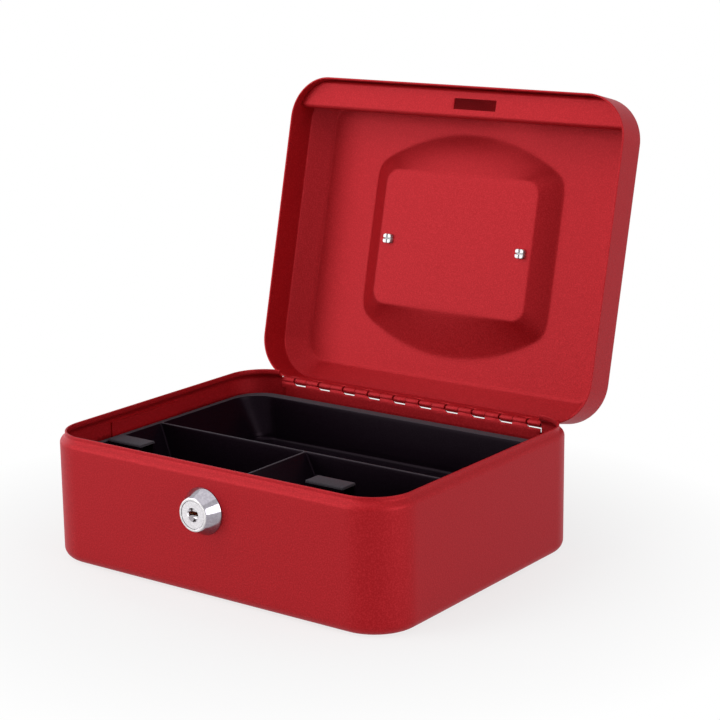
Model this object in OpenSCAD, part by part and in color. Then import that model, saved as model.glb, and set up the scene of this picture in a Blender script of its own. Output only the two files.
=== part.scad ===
// Steel cash box with a hinged lid, a lift-out coin tray, a hook cam lock
// and a folding carry handle in a well pressed into the lid.
// Millimetres. The origin is the centre of the base on the ground: +X is
// right, -Y is the front with the lock, +Z is up. The lid stands open.

/* [Box] */
// Outside width, left to right
box_w = 200; // [196:1:215]
// Outside depth, front to back
box_d = 160; // [158:1:172]
// Height of the straight walls, from the ground to the shoulder
wall_h = 56; // [55:0.5:60]
// Outside radius of the upright corners
corner_r = 22; // [20:0.5:24]
// Outside radius of the bend between the walls and the floor
base_r = 5; // [3:0.5:7]
// Thickness of the sheet steel
sheet_t = 0.9; // [0.7:0.1:1.1]
// Radius of the rounded shoulder under the lip
shoulder_r = 3.1; // [2.8:0.1:3.4]
// How far the lip stands in from the wall's face
lip_inset = 2.5; // [2.3:0.1:2.7]
// Height of the lip's edge above the top of the straight wall
lip_rise = 5.6; // [5:0.1:6]

/* [Lid] */
// Angle between the closed lid and the open one, in degrees
lid_angle = 103.25; // [90:0.25:110]
// Height of the closed lid's edge above the spot where it would meet the shoulder
lid_gap = 0.4; // [0.3:0.05:0.8]
// Full height of the lid, from its edge to the top of its panel
lid_h = 27; // [26:0.5:30]
// Height of the lid's upright skirt
skirt_h = 17.5; // [16:0.5:18]
// Width of the sloping border between the skirt and the panel
border_w = 10.5; // [9:0.5:12]

/* [Handle well] */
// Depth of the well below the lid's panel
well_depth = 7; // [6:0.5:8]
// Width of the well's mouth, left to right
well_w = 113; // [108:1:118]
// Depth of the well's mouth, front to back, on its centre line
well_d = 114; // [110:1:120]
// Front to back length of the mouth's straight sides
well_side = 78; // [70:1:84]
// Width of the well's flat floor
floor_w = 92; // [90:1:96]
// Front to back length of the well's flat floor
floor_d = 70; // [64:1:74]

/* [Handle] */
// Distance between the two handle posts
post_gap = 81; // [79:1:82]
// Diameter of the handle's wire
wire_d = 4; // [3.5:0.1:4.2]
// Distance from the handle's pivot to the middle of its grip
bail_reach = 25; // [22:1:27]

/* [Hinge] */
// Number of knuckles on the two leaves together
knuckles = 20; // [16:2:24]
// Length of the row of knuckles
hinge_w = 158.6; // [150:0.1:160]
// Diameter of the hinge pin
pin_d = 1.8; // [1.6:0.1:1.9]
// Radial play between the pin and the knuckles
pin_play = 0.05; // [0.02:0.01:0.08]

/* [Lock] */
// Height of the lock's axis above the ground
lock_z = 41; // [40:0.5:42]
// Diameter of the bezel against the wall
bezel_d = 22; // [21:0.5:24]
// Diameter of the bezel's face
face_d = 15.2; // [15:0.1:17]
// How far the bezel stands out of the wall
bezel_h = 7.2; // [6.5:0.1:8]
// Diameter of the plug's face
plug_d = 12.8; // [12.4:0.1:13.2]
// Number of wafers in the plug
wafers = 5; // [3:1:5]

/* [Strike plate] */
// Distance from the lid's edge to the face of the strike plate
strike_depth = 4.7; // [4.5:0.1:5.2]
// Length of the slot that the hook passes through
slot_w = 24.8; // [24:0.1:26]
// Width of that slot, front to back
slot_d = 5.4; // [5:0.1:5.8]

/* [Coin tray] */
// Width of the tray over its rim
tray_w = 189; // [186:1:190]
// Height of the tray's rim above the ground
tray_z = 50; // [49:0.5:51]
// Depth of the compartments below the rim
tray_depth = 22; // [18:1:26]
// Thickness of the tray's walls
tray_t = 1.4; // [1.2:0.1:1.8]
// Height of the finger grips above the rim
grip_rise = 1; // [0.5:0.1:1.5]

/* [Hidden] */
$fn = 96;
far = 400;       // longer than anything in the box
play = 0.1;      // gap round pieces that are put together loosely
sliver = 0.01;   // thickness of the slabs that a hull joins

// Heights and places worked out from the driving sizes
rim_z = wall_h + lip_rise;
edge_z = wall_h + sqrt(pow(shoulder_r, 2) - pow(shoulder_r - sheet_t, 2)) + lid_gap;
inner_y = box_d / 2 - sheet_t;
lip_face = lip_inset + sheet_t;

// Hinge: leaves against the walls' inner faces, knuckles just outside them
knuckle_r = 1.7;
leaf_t = 0.8;
leaf_h = 11.4;
leaf_gap = 1.8;   // from the hinge axis to the edge of a leaf
finger_root = 2;  // how far a knuckle's finger reaches down its leaf
leaf_w = box_w - 2 * corner_r;
hinge_y = box_d / 2 + 0.45;
hinge_z = edge_z - 2.85;
hinge_x = -80.8;  // left end of the row of knuckles
pitch = hinge_w / knuckles;
knuckle_gap = 0.5;
end_play = 0.3;   // how far the lid's knuckles stand to the right of the middle
leaf_y = inner_y - hinge_y;   // outer face of a leaf, from the hinge axis
notch_left = 0.15;  // from the ends of the row of knuckles to the notch's ends
notch_right = 0.5;
notch_z = hinge_z - 3.9;

// Slope of the lid's border, and where its inner face meets the skirt and panel
border_tilt = atan2(lid_h - skirt_h, border_w);
inner_skirt_h = skirt_h - sheet_t * (1 - sin(border_tilt)) / cos(border_tilt);
inner_border_w = border_w + sheet_t * (1 / cos(border_tilt) - 1) / tan(border_tilt);
well_floor_z = edge_z + lid_h - well_depth;
wall_shift = 0.3;   // how much wider the pressed well is on the lid's inner side
floor_corner = 6;
floor_shift = 1.2;  // how far the well's floor stands towards the lid's front

// Handle
pivot_z = well_floor_z + 3.5;
post_x = post_gap / 2;
post_w = 6;
foot_r = 4.6;
foot_h = 0.8;
post_r = 3.3;
shank_r = 2;
stake_r = 2.6;
stake_h = 2;
bail_x = post_x - post_w / 2 - wire_d / 2 - 1.5;
bail_bend = 6;    // bend between the bail's leg and its grip
pin_bend = 3;     // bend between the leg and the end that turns in a post
hang = lid_angle - 90;   // how far the bail hangs away from the open lid

// Lock
wall_y = -box_d / 2;
barrel_r = 8;
barrel_end = wall_y + 6.9;
plug_r = 5.5;
plug_end = barrel_end + 0.3;
face_t = 1.6;
plug_face = wall_y - bezel_h + 0.2;
groove_depth = 6.7;
wafer_pitch = 2.1;
wafer_half = 4.9;
wafer_h = 4.5;
groove_h = wafer_h + 0.8;
wafer_t = 0.9;
first_wafer = plug_face + face_t + 1.2;
keyway_w = 5.8;
keyway_h = 1.9;
keyway_depth = 12.4;
sink_r = 3.25;      // countersink round the keyway, at the face and at its bottom
sink_end_r = 2.3;
sink_depth = 2.2;
window_h = 2;       // opening in a wafer for the key
stop_r = 6.5;
stop_reach = 7.8;   // from the lock's axis to the end of the stop washer's ear
stop_w = 4;
stop_t = 0.5;
tang_w = 6;
cam_y = wall_y + 7.8;
cam_t = 2;
tang_end = cam_y + cam_t - 0.1;
nut_af = 20;
nut_t = 2.8;
washer_r = 4.5;
washer_t = 0.6;
screw_r = 1.7;
screw_depth = 4.5;  // how far the screw goes into the plug's tang
head_r = 3;
head_h = 1.9;
cross_w = 0.7;      // width of a cross punched into a screw or a rivet

// Hook cam, measured from the lock's axis with the hook up
hook_in = edge_z + strike_depth + sheet_t - lock_z + 0.5;
hook_out = hook_in + 6.7;
hook_r = hook_out + 0.8;    // round end of the arm
arm_left = -0.3;
arm_w = 8.8;
nose = 6.7;
hub_r = 8;

// Strike plate
strike_z = edge_z + strike_depth;
slot_x = -1;
slot_y = cam_y + cam_t / 2;
strike_back = -64;
strike_bend = 2;
strike_flange = 6;
strike_lip = 1.6;

// Coin tray: compartments are given at the rim, and narrow towards the floor
rim_t = 1.8;
rim_r = 16;
tray_front = -68;
tray_back = 72;
rim_side = 3;
rim_front = 3.5;
rim_back = 6;
divider_t = 1.5;
divider_y = -4.2;
divider_x = -0.8;
end_slope = 12;     // how far an end wall leans in over the tray's depth
divider_slope = 14; // the same for the wall between the front compartments
side_slope = 4;     // the same for the front and back walls
mouth_r = 17;       // corner radius of the compartments at the rim
floor_r = 10;       // and at the floor
grip_w = 21;
grip_d = 9.8;
grip_lip = 2.6;
grip_y = -38.4;     // middle of the two finger grips
grip_left_x = -91;
grip_right_x = 29;

// Tray brackets
bracket_front = -33;
bracket_back = 16;
bracket_reach = 6.5;
bracket_z = tray_z - rim_t;

// Colours
red = [0.62, 0.09, 0.11];
steel = [0.8, 0.8, 0.82];
dark = [0.1, 0.09, 0.1];
brass = [0.78, 0.6, 0.28];

// A rectangle with round corners, centred on the origin
module rounded_rect(w, d, r) {
    square([w - 2 * r, d], center = true);
    square([w, d - 2 * r], center = true);
    for (x = [-1, 1], y = [-1, 1]) {
        translate([x * (w / 2 - r), y * (d / 2 - r)]) circle(r);
    }
}

// Carries a section round the outline of the box. The section's x is the
// distance from the centre of the upright corners, and its y is the height.
module swept() {
    long = box_w - 2 * corner_r;
    deep = box_d - 2 * corner_r;
    for (turn = [0, 180]) {
        rotate(turn) translate([long / 2, deep / 2, 0]) rotate([90, 0, 0])
            linear_extrude(deep) children();
        rotate(turn + 90) translate([deep / 2, long / 2, 0]) rotate([90, 0, 0])
            linear_extrude(long) children();
        rotate(turn) translate([long / 2, deep / 2, 0])
            rotate_extrude(angle = 90) children();
        rotate(turn + 90) translate([deep / 2, long / 2, 0])
            rotate_extrude(angle = 90) children();
    }
}

// A quarter of a ring in the first quadrant
module quarter_ring(r) {
    intersection() {
        difference() {
            circle(r);
            circle(r - sheet_t);
        }
        square(r);
    }
}

// Section through a wall of the box, from the floor bend to the lip
module wall_section() {
    translate([corner_r - base_r, base_r]) mirror([0, 1]) quarter_ring(base_r);
    translate([corner_r - sheet_t, base_r]) square([sheet_t, wall_h - base_r]);
    translate([corner_r - shoulder_r, wall_h]) quarter_ring(shoulder_r);
    translate([corner_r - lip_face, wall_h + shoulder_r - sheet_t])
        square([sheet_t, lip_rise - shoulder_r + sheet_t]);
}

// Turns a piece from its place on the closed lid to its place on the open one
module on_lid() {
    translate([0, hinge_y, hinge_z]) rotate([-lid_angle, 0, 0])
        translate([0, -hinge_y, -hinge_z]) children();
}

// Turns a piece drawn along +Z about the lock's axis, so that it points inwards
module on_lock(y) {
    translate([0, y, lock_z]) rotate([-90, 0, 0]) children();
}

module body_shell() {
    color(red) difference() {
        union() {
            swept() wall_section();
            linear_extrude(sheet_t)
                rounded_rect(box_w - 2 * base_r, box_d - 2 * base_r, corner_r - base_r);
        }
        // notch in the back wall for the hinge
        translate([hinge_x - notch_left, inner_y - 5, notch_z])
            cube([hinge_w + notch_left + notch_right, 10, far]);
        on_lock(wall_y - 1) cylinder(r = barrel_r + play, h = 5);
    }
}

// One leaf of the hinge about its axis, hanging down. The first knuckle is
// number start, and every other one after it belongs to the leaf. They stand
// to the right of their places by shift.
module leaf(start, shift) {
    difference() {
        union() {
            // plate against the wall
            translate([-leaf_w / 2, leaf_y - leaf_t, -leaf_h])
                cube([leaf_w, leaf_t, leaf_h - leaf_gap]);
            for (k = [start : 2 : knuckles - 1]) {
                translate([hinge_x + k * pitch + shift, 0, 0])
                    rotate([90, 0, 90]) linear_extrude(pitch - knuckle_gap) {
                        circle(knuckle_r);
                        // finger that bends from the plate out to the knuckle
                        polygon([
                            [leaf_y - leaf_t, -leaf_gap - finger_root],
                            [leaf_y, -leaf_gap - finger_root],
                            [leaf_y, -leaf_gap],
                            [-knuckle_r * 0.55, -knuckle_r * 0.7],
                            [-knuckle_r * 0.55, 0],
                            [-knuckle_r, 0],
                            [-knuckle_r, -knuckle_r * 0.5],
                            [leaf_y - leaf_t, -leaf_gap],
                        ]);
                    }
            }
        }
        translate([-far / 2, 0, 0]) rotate([0, 90, 0])
            cylinder(r = pin_d / 2 + pin_play, h = far);
    }
}

module hinge_body_leaf() {
    color(red) translate([0, hinge_y, hinge_z]) leaf(0, 0);
}

module hinge_lid_leaf() {
    color(red) on_lid() translate([0, hinge_y, hinge_z]) mirror([0, 0, 1])
        leaf(1, end_play);
}

module hinge_pin() {
    color(steel) translate([hinge_x - 0.4, hinge_y, hinge_z]) rotate([0, 90, 0])
        cylinder(r = pin_d / 2, h = hinge_w + 0.4);
}

// Angle plate welded to the right wall, whose ledge carries the tray's rim
module tray_bracket() {
    wall_x = box_w / 2 - sheet_t;
    translate([0, bracket_back, 0]) rotate([90, 0, 0])
        linear_extrude(bracket_back - bracket_front)
            polygon([
                [wall_x, wall_h - 0.4],
                [wall_x - sheet_t, wall_h - 0.4],
                [wall_x - sheet_t, bracket_z],
                [wall_x - bracket_reach, bracket_z],
                [wall_x - bracket_reach, bracket_z - sheet_t],
                [wall_x, bracket_z - sheet_t],
            ]);
}

module tray_bracket_right() {
    color(red) tray_bracket();
}

module tray_bracket_left() {
    color(red) mirror([1, 0, 0]) tray_bracket();
}

// Solid shape of the closed lid, shrunk by an inset all round
module lid_solid(inset, upright, border, top) {
    w = box_w - 2 * inset;
    d = box_d - 2 * inset;
    slope = border - inset;
    translate([0, 0, -sliver]) linear_extrude(upright + sliver)
        rounded_rect(w, d, corner_r - inset);
    hull() {
        translate([0, 0, upright - sliver]) linear_extrude(sliver)
            rounded_rect(w, d, corner_r - inset);
        translate([0, 0, top - sliver]) linear_extrude(sliver)
            rounded_rect(w - 2 * slope, d - 2 * slope, corner_r - border);
    }
}

// Outline of the well's mouth: straight sides, and a bulge at front and back
module well_mouth(grow) {
    rise = (well_d - well_side) / 2;
    arc_r = (pow(well_w / 2, 2) + rise * rise) / (2 * rise);
    intersection() {
        translate([0, arc_r - well_d / 2]) circle(arc_r + grow);
        translate([0, well_d / 2 - arc_r]) circle(arc_r + grow);
        square([well_w + 2 * grow, well_d + 2 * grow], center = true);
    }
}

// Space of the handle well, from the panel down to the well's floor
module well(grow, top, bottom) {
    hull() {
        translate([0, 0, top]) linear_extrude(sliver) well_mouth(grow);
        translate([0, -floor_shift, bottom]) linear_extrude(sliver)
            rounded_rect(floor_w + 2 * grow, floor_d + 2 * grow, floor_corner + grow);
    }
}

module lid_shell() {
    color(red) on_lid() translate([0, 0, edge_z]) difference() {
        lid_solid(0, skirt_h, border_w, lid_h);
        well(0, lid_h, lid_h - well_depth);
        difference() {
            translate([0, 0, -sliver])
                lid_solid(sheet_t, inner_skirt_h, inner_border_w, lid_h - sheet_t);
            well(wall_shift, lid_h - sheet_t, lid_h - well_depth - sheet_t);
        }
        for (x = [-post_x, post_x]) {
            translate([x, 0, 0]) cylinder(r = shank_r, h = lid_h);
        }
    }
}

// Angle inside the front of the lid: a flange against the skirt, a web that
// holds the slot for the hook, and a short lip along the web's free edge
module strike_plate() {
    skirt_gap = sheet_t + play;
    color(red) on_lid() difference() {
        intersection() {
            translate([0, 0, edge_z]) lid_solid(skirt_gap, inner_skirt_h - play,
                inner_border_w + play, lid_h - skirt_gap);
            translate([-far / 2, 0, 0]) rotate([90, 0, 90]) linear_extrude(far)
                strike_section();
        }
        translate([slot_x, slot_y - slot_d / 2, strike_z - 1])
            cube([slot_w, slot_d, 4]);
    }
}

// Section of the strike plate: x is the distance to the back, y the height
module strike_section() {
    front = wall_y + sheet_t + play;
    translate([front + strike_bend, strike_z])
        square([strike_back - front - 2 * strike_bend, sheet_t]);
    translate([front + strike_bend, strike_z + strike_bend])
        rotate(180) quarter_ring(strike_bend);
    translate([front, strike_z + strike_bend]) square([sheet_t, strike_flange]);
    translate([strike_back - strike_bend, strike_z + strike_bend])
        rotate(270) quarter_ring(strike_bend);
    translate([strike_back - sheet_t, strike_z + strike_bend])
        square([sheet_t, strike_lip]);
}

// Post that carries one end of the handle: a foot and a round-topped eye on
// the outside of the lid, a shank through it and a cross-punched rivet end
module handle_post() {
    drop = sheet_t + stake_h;
    difference() {
        union() {
            translate([0, 0, well_floor_z]) cylinder(r = foot_r, h = foot_h);
            translate([-post_w / 2, -post_r, well_floor_z])
                cube([post_w, 2 * post_r, pivot_z - well_floor_z]);
            translate([-post_w / 2, 0, pivot_z]) rotate([0, 90, 0])
                cylinder(r = post_r, h = post_w);
            translate([0, 0, well_floor_z - drop]) cylinder(r = shank_r, h = drop);
            translate([0, 0, well_floor_z - drop]) cylinder(r = stake_r, h = stake_h);
        }
        translate([-post_w, 0, pivot_z]) rotate([0, 90, 0])
            cylinder(r = wire_d / 2 + play, h = 2 * post_w);
        // cross punched into the rivet's end
        for (turn = [0, 90]) {
            translate([0, 0, well_floor_z - drop]) rotate(turn)
                cube([2 * stake_r + 1, cross_w, 2 * cross_w], center = true);
        }
    }
}

module handle_post_left() {
    color(steel) on_lid() translate([-post_x, 0, 0]) handle_post();
}

module handle_post_right() {
    color(steel) on_lid() translate([post_x, 0, 0]) handle_post();
}

// Right half of the bail, lying flat with its pivot on the X axis
module bail_half() {
    wire_r = wire_d / 2;
    rotate([0, 90, 0]) translate([0, 0, bail_x + pin_bend])
        cylinder(r = wire_r, h = post_x + post_w / 2 - 0.2 - bail_x - pin_bend);
    translate([bail_x + pin_bend, pin_bend, 0]) rotate(180)
        rotate_extrude(angle = 90) translate([pin_bend, 0]) circle(wire_r);
    translate([bail_x, pin_bend, 0]) rotate([-90, 0, 0])
        cylinder(r = wire_r, h = bail_reach - bail_bend - pin_bend);
    translate([bail_x - bail_bend, bail_reach - bail_bend, 0])
        rotate_extrude(angle = 90) translate([bail_bend, 0]) circle(wire_r);
    translate([0, bail_reach, 0]) rotate([0, 90, 0])
        cylinder(r = wire_r, h = bail_x - bail_bend);
}

module handle_bail() {
    color(steel) on_lid() translate([0, 0, pivot_z]) rotate([hang, 0, 0]) {
        bail_half();
        mirror([1, 0, 0]) bail_half();
    }
}

// Outline inside the tray's rim, shrunk by how far the outer walls lean in
module tray_outline(in_end, in_side, r, grow) {
    w = tray_w - 2 * rim_side - 2 * in_end + 2 * grow;
    d = tray_back - rim_back - tray_front - rim_front - 2 * in_side + 2 * grow;
    middle = (tray_back - rim_back + tray_front + rim_front) / 2;
    translate([0, middle]) rounded_rect(w, d, r + grow);
}

// Tub of one compartment between the dividers at its left, right, front and
// back. The walls lean in over the tray's depth.
module tub(left, right, front, back, grow) {
    in_x = divider_slope;
    in_y = side_slope;
    hull() {
        translate([0, 0, tray_z - sliver]) linear_extrude(sliver) intersection() {
            tray_outline(0, 0, mouth_r, grow);
            translate([left - grow, front - grow])
                square([right - left + 2 * grow, back - front + 2 * grow]);
        }
        translate([0, 0, tray_z - tray_depth - grow]) linear_extrude(sliver)
            intersection() {
                tray_outline(end_slope, side_slope, floor_r, grow);
                translate([left + in_x - grow, front + in_y - grow])
                    square([right - left - 2 * in_x + 2 * grow,
                        back - front - 2 * in_y + 2 * grow]);
            }
    }
}

// The three compartments of the tray, either empty or with their walls
module tubs(grow) {
    half = divider_t / 2;
    tub(-tray_w, tray_w, divider_y + half, tray_w, grow);
    tub(-tray_w, divider_x - half, -tray_w, divider_y - half, grow);
    tub(divider_x + half, tray_w, -tray_w, divider_y - half, grow);
}

// Bridge to lift the tray by: a cap with a short lip in front, a web behind
// that stands on the compartment's floor, and an open right end
module grip(x) {
    top = tray_z + grip_rise;
    floor_z = tray_z - tray_depth;
    front = grip_y - grip_d / 2;
    back = grip_y + grip_d / 2;
    translate([x, front, top - tray_t]) cube([grip_w, grip_d, tray_t]);
    translate([x, front, top - grip_lip]) cube([grip_w, tray_t, grip_lip]);
    translate([x, back - tray_t, floor_z]) cube([grip_w, tray_t, top - floor_z]);
    translate([x, front, top - grip_lip]) cube([tray_t, grip_d, grip_lip]);
}

module coin_tray() {
    depth = tray_back - tray_front;
    color(dark) {
        difference() {
            union() {
                translate([0, (tray_back + tray_front) / 2, tray_z - rim_t])
                    linear_extrude(rim_t) rounded_rect(tray_w, depth, rim_r);
                tubs(tray_t);
            }
            translate([0, 0, sliver]) tubs(0);
        }
        grip(grip_left_x);
        grip(grip_right_x);
    }
}

module lock_housing() {
    color(steel) difference() {
        union() {
            on_lock(wall_y - bezel_h) cylinder(d1 = face_d, d2 = bezel_d, h = bezel_h);
            on_lock(wall_y) cylinder(r = barrel_r, h = barrel_end - wall_y);
        }
        on_lock(wall_y - bezel_h - 1) cylinder(r = plug_r + play / 2, h = far);
        // seat for the plug's face
        on_lock(wall_y - bezel_h - 1)
            cylinder(d = plug_d + play, h = plug_face + face_t - wall_y + bezel_h + 1 + play);
        // groove that the wafers drop into when the key is out
        translate([-groove_depth, plug_face + face_t, lock_z - groove_h / 2])
            cube([groove_depth, far, groove_h]);
    }
}

module lock_nut() {
    color(steel) on_lock(wall_y + sheet_t) difference() {
        cylinder(d = nut_af / cos(30), h = nut_t, $fn = 6);
        translate([0, 0, -1]) cylinder(r = barrel_r + play / 2, h = nut_t + 2);
    }
}

module lock_plug() {
    color(steel) difference() {
        union() {
            on_lock(plug_face) cylinder(d = plug_d, h = face_t);
            on_lock(plug_face) cylinder(r = plug_r, h = plug_end - plug_face);
            translate([-tang_w / 2, plug_end - 1, lock_z - tang_w / 2])
                cube([tang_w, tang_end - plug_end + 1, tang_w]);
        }
        // countersink and slot for the key
        on_lock(plug_face - sliver)
            cylinder(r1 = sink_r, r2 = sink_end_r, h = sink_depth);
        translate([-keyway_w / 2, plug_face - 1, lock_z - keyway_h / 2])
            cube([keyway_w, keyway_depth + 1, keyway_h]);
        for (k = [0 : wafers - 1]) {
            translate([-plug_r - 1, first_wafer + k * wafer_pitch, lock_z])
                translate([0, 0, -(wafer_h + play) / 2])
                    cube([2 * plug_r + 2, wafer_t + play, wafer_h + play]);
        }
        on_lock(tang_end - screw_depth - 0.5) cylinder(r = screw_r, h = far);
    }
}

// Flat wafers in the plug's slots, each with a window for the key
module lock_wafers() {
    color(brass) for (k = [0 : wafers - 1]) {
        translate([0, first_wafer + k * wafer_pitch + play / 2, lock_z]) difference() {
            translate([-wafer_half, 0, -wafer_h / 2])
                cube([2 * wafer_half, wafer_t, wafer_h]);
            translate([-keyway_w / 2, -1, -window_h / 2])
                cube([keyway_w, wafer_t + 2, window_h]);
        }
    }
}

// Square hole in the pieces that sit on the plug's tang
module tang_hole() {
    cube([tang_w + play, tang_w + play, far], center = true);
}

module stop_washer() {
    color(steel) on_lock(plug_end + play / 2) difference() {
        union() {
            cylinder(r = stop_r, h = stop_t);
            translate([0, -stop_w / 2, 0]) cube([stop_reach, stop_w, stop_t]);
        }
        tang_hole();
    }
}

// Outline of the hook cam with its hook up: hub, arm and nose
module cam_outline() {
    circle(hub_r);
    intersection() {
        circle(hook_r);
        union() {
            translate([arm_left, 0]) square([arm_w, hook_out]);
            translate([-nose, hook_in]) square([nose + 1, hook_out - hook_in]);
        }
    }
}

// The hook lies to the right, and turns up through the strike plate to lock
module lock_cam() {
    color(steel) translate([0, cam_y + cam_t, lock_z]) rotate([90, 90, 0])
        difference() {
            linear_extrude(cam_t) cam_outline();
            tang_hole();
        }
}

module cam_washer() {
    color(steel) on_lock(cam_y + cam_t) difference() {
        cylinder(r = washer_r, h = washer_t);
        translate([0, 0, -1]) cylinder(r = screw_r + play, h = washer_t + 2);
    }
}

module cam_screw() {
    head_y = cam_y + cam_t + washer_t;
    color(steel) difference() {
        union() {
            on_lock(head_y) cylinder(r = head_r, h = head_h);
            on_lock(tang_end - screw_depth)
                cylinder(r = screw_r, h = head_y - tang_end + screw_depth);
        }
        for (turn = [0, 90]) {
            on_lock(head_y + head_h) rotate(turn)
                cube([2 * screw_r, cross_w, head_h], center = true);
        }
    }
}

body_shell();
hinge_body_leaf();
hinge_pin();
tray_bracket_left();
tray_bracket_right();
lock_housing();
lock_nut();
lid_shell();
strike_plate();
hinge_lid_leaf();
handle_post_left();
handle_post_right();
handle_bail();
coin_tray();
lock_plug();
lock_wafers();
stop_washer();
lock_cam();
cam_washer();
cam_screw();
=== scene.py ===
"""Steel cash box: looks for the pressed shells, the hinge, the lock, the handle and the coin tray.

Sizes are in millimetres until a mesh is made, and the lid is worked out shut and then turned open.
"""

from math import cos, degrees, pi, radians, sin, sqrt

import bmesh
import bpy
import numpy as np
from mathutils import Matrix


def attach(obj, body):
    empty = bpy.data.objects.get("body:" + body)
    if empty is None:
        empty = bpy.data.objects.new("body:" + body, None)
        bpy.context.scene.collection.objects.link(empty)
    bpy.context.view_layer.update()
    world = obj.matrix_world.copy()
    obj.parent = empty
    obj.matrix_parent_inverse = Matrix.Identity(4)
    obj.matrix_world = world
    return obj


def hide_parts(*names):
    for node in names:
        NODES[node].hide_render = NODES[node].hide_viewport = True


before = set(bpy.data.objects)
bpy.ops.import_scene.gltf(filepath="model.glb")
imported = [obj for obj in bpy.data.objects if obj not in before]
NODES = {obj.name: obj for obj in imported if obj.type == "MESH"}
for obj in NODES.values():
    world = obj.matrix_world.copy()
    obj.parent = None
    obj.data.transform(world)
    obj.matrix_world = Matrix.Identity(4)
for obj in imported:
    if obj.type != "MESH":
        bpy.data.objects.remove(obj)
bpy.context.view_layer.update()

MM = 0.001
BOX_W, BOX_D, CORNER_R = 200.0, 160.0, 22.0
SHEET = 0.9
WALL_H, BASE_R, SHOULDER_R = 56.0, 5.0, 3.1
LIP_INSET, RIM_Z = 2.5, 61.6
LID_GAP, PIN_DROP = 0.4, 2.85
EDGE_Z = WALL_H + sqrt(SHOULDER_R**2 - (SHOULDER_R - SHEET) ** 2) + LID_GAP
LID_ANGLE = radians(103.25)
HINGE_Y, HINGE_Z = 80.45, EDGE_Z - PIN_DROP
SKIRT_H, BORDER_W, LID_H = 17.5, 10.5, 27.0
WELL_DEPTH, WELL_W, WELL_D, WELL_SIDE = 7.0, 113.0, 114.0, 78.0
FLOOR_W, FLOOR_D, FLOOR_R, FLOOR_SHIFT = 92.0, 70.0, 7.0, 1.2
LOCK_Z, WALL_Y = 41.0, -80.0


# ---------------------------------------------------------------- mesh tools
def grid_quads(rows, columns, wrap, first):
    """Corner numbers of the quads between the points of a grid, whose first point has the number first."""
    number = first + np.arange(rows * columns).reshape(rows, columns)
    if wrap:
        number = np.concatenate([number, number[:, :1]], axis=1)
    a, b = number[:-1, :-1], number[1:, :-1]
    c, d = number[1:, 1:], number[:-1, 1:]
    return np.stack([a, b, c, d], axis=-1).reshape(-1, 4)


def piece(name, patches, body, material, replaces=(), angle=40, weld=0.004):
    """One object from grids of points in mm. A patch is (points[rows, columns, 3], wraps round its columns).

    Touching patches are welded, normals are turned outwards, and edges sharper than angle stay crisp.
    """
    points, quads, first = [], [], 0
    for grid, wrap in patches:
        rows, columns = grid.shape[:2]
        points.append(np.asarray(grid, float).reshape(-1, 3))
        quads.append(grid_quads(rows, columns, wrap, first))
        first += rows * columns
    mesh = bpy.data.meshes.new(name)
    mesh.from_pydata((np.concatenate(points) * MM).tolist(), [], np.concatenate(quads).tolist())
    work = bmesh.new()
    work.from_mesh(mesh)
    bmesh.ops.remove_doubles(work, verts=work.verts, dist=weld * MM)
    bmesh.ops.dissolve_degenerate(work, edges=work.edges, dist=1e-7)
    bmesh.ops.recalc_face_normals(work, faces=work.faces)
    work.to_mesh(mesh)
    work.free()
    mesh.shade_smooth()
    mesh.set_sharp_from_angle(angle=radians(angle))
    mesh.materials.append(material)
    made = bpy.data.objects.new(name, mesh)
    bpy.context.scene.collection.objects.link(made)
    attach(made, body)
    if replaces:
        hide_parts(*replaces)
    return made


def thicken(made, thickness, offset=-1.0, bevel=0.0, even=True):
    """Gives a sheet its thickness, and its cut edges a small round."""
    wall = made.modifiers.new("thickness", "SOLIDIFY")
    wall.thickness = thickness * MM
    wall.offset = offset
    wall.use_even_offset = even
    if bevel:
        soften(made, bevel)
    return made


def soften(made, width):
    """Rounds the edges of a piece that are sharper than 50 degrees."""
    edge = made.modifiers.new("edge", "BEVEL")
    edge.width = width * MM
    edge.segments = 2
    edge.limit_method = "ANGLE"
    edge.angle_limit = radians(50)


def arc(cx, cy, r, start, end, steps):
    """Points cx + r cos a, cy + r sin a for a from start to end in degrees."""
    a = np.radians(np.linspace(start, end, steps + 1))
    return np.stack([cx + r * np.cos(a), cy + r * np.sin(a)], axis=1)


def blend_curve(p, dp, q, dq, steps):
    """Cubic from p with slope dp to q with slope dq, by the Hermite formula."""
    t = np.linspace(0, 1, steps + 1)[:, None]
    p, dp, q, dq = (np.asarray(v, float) for v in (p, dp, q, dq))
    return (
        (2 * t**3 - 3 * t**2 + 1) * p
        + (t**3 - 2 * t**2 + t) * dp
        + (3 * t**2 - 2 * t**3) * q
        + (t**3 - t**2) * dq
    )


def filleted(corners, radii, steps=6):
    """Path through the corners, each rounded with its own radius: the arc touches both of its lines."""
    corners = [np.asarray(c, float) for c in corners]
    path = [corners[0][None]]
    for before, corner, after, r in zip(corners, corners[1:], corners[2:], radii):
        into = (before - corner) / np.linalg.norm(before - corner)
        out = (after - corner) / np.linalg.norm(after - corner)
        half = np.arccos(np.clip(into @ out, -1, 1)) / 2
        back = r / np.tan(half)
        centre = corner + (into + out) / np.linalg.norm(into + out) * r / np.sin(half)
        start, end = corner + into * back - centre, corner + out * back - centre
        first, last = np.arctan2(start[1], start[0]), np.arctan2(end[1], end[0])
        turn = (last - first + pi) % (2 * pi) - pi
        a = first + turn * np.linspace(0, 1, steps + 1)
        path.append(centre + r * np.stack([np.cos(a), np.sin(a)], axis=1))
    path.append(corners[-1][None])
    return np.concatenate(path)


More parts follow.
